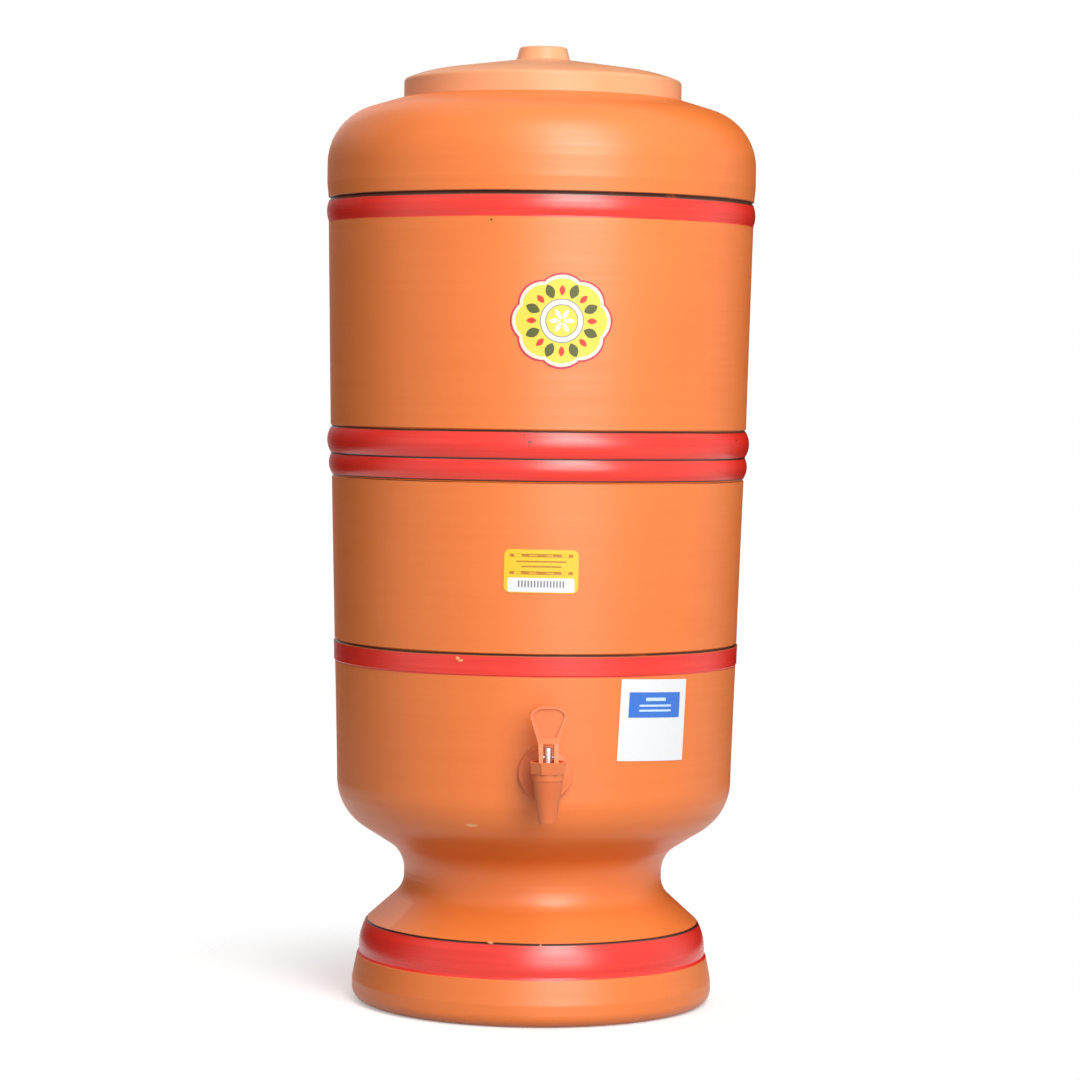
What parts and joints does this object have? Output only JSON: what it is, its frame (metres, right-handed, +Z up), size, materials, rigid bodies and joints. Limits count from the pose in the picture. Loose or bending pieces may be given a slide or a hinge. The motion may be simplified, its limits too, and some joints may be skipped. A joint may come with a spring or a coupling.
{
  "type": "clay water pot with tap",
  "caption": "Two-stage clay water filter: an upper vessel with filter candles stands on a footed lower vessel with a spring-closed lever tap, under a moulded lid.",
  "frame": {"origin": "centre of the foot ring's underside, on the vessels' common axis and on the surface that the filter stands on", "axes": "+Z up the vessels' axis, tap facing -Y, +X to the right when looking at the tap"},
  "size_m": [0.2688, 0.2956, 0.5994],
  "materials": {
    "clay": "smooth turned terracotta with red and black painted bands",
    "lid_plastic": "satin terracotta-coloured moulding",
    "tap_plastic": "satin terracotta-coloured moulding",
    "steel": "plain turned",
    "seal_rubber": "plain soft rubber",
    "white_plastic": "plain moulding",
    "float_plastic": "plain hollow moulding",
    "candle_ceramic": "unglazed porous white"
  },
  "bodies": {
    "base": {"lower_vessel": "clay", "tap_body": "tap_plastic", "flange_washer": "seal_rubber", "inner_washer": "seal_rubber", "tap_locknut": "white_plastic", "tap_bonnet": "tap_plastic", "stem_gland": "seal_rubber", "return_spring": "steel"},
    "tap_stem": {"valve_stem": "steel", "valve_plug": "seal_rubber", "lever_pin": "steel"},
    "tap_handle": {"tap_lever": "tap_plastic"},
    "upper": {"upper_vessel": "clay", "candle_1": "candle_ceramic", "candle_base_1": "white_plastic", "candle_gasket_1": "seal_rubber", "candle_washer_1": "seal_rubber", "wing_nut_1": "white_plastic", "float_valve_1": "white_plastic", "float_pin_1": "steel", "candle_2": "candle_ceramic", "candle_base_2": "white_plastic", "candle_gasket_2": "seal_rubber", "candle_washer_2": "seal_rubber", "wing_nut_2": "white_plastic", "float_valve_2": "white_plastic", "float_pin_2": "steel"},
    "lid": {"lid": "lid_plastic"},
    "float_1": {"float_arm_1": "white_plastic", "float_pad_1": "seal_rubber", "float_1": "float_plastic"},
    "float_2": {"float_arm_2": "white_plastic", "float_pad_2": "seal_rubber", "float_2": "float_plastic"}
  },
  "joints": [
    {"name": "upper_lift", "type": "slide", "parent": "base", "child": "upper", "axis": [0, 0, 1], "range_m": [0, 0.16]},
    {"name": "lid_lift", "type": "slide", "parent": "upper", "child": "lid", "axis": [0, 0, 1], "range_m": [0, 0.12]},
    {"name": "stem_lift", "type": "slide", "parent": "base", "child": "tap_stem", "axis": [0, 0, 1], "range_m": [0, 0.00251], "deforming": ["return_spring"]},
    {"name": "lever_tilt", "type": "hinge", "parent": "tap_stem", "child": "tap_handle", "pos_m": [0, -0.15024, 0.16885], "axis": [1, 0, 0], "range_deg": [0, 40], "stiffness_Nm_per_rad": 0.0052, "springref_deg": -47.74},
    {"name": "float_rise_1", "type": "hinge", "parent": "upper", "child": "float_1", "pos_m": [-0.046, -0.009, 0.3009], "axis": [1, 0, 0], "range_deg": [0, 25]},
    {"name": "float_rise_2", "type": "hinge", "parent": "upper", "child": "float_2", "pos_m": [0.046, 0.009, 0.3009], "axis": [-1, 0, 0], "range_deg": [0, 25]}
  ],
  "couplings": [
    {"joint": "lever_tilt", "follows": "stem_lift", "rad_per_m": 277.78}
  ]
}
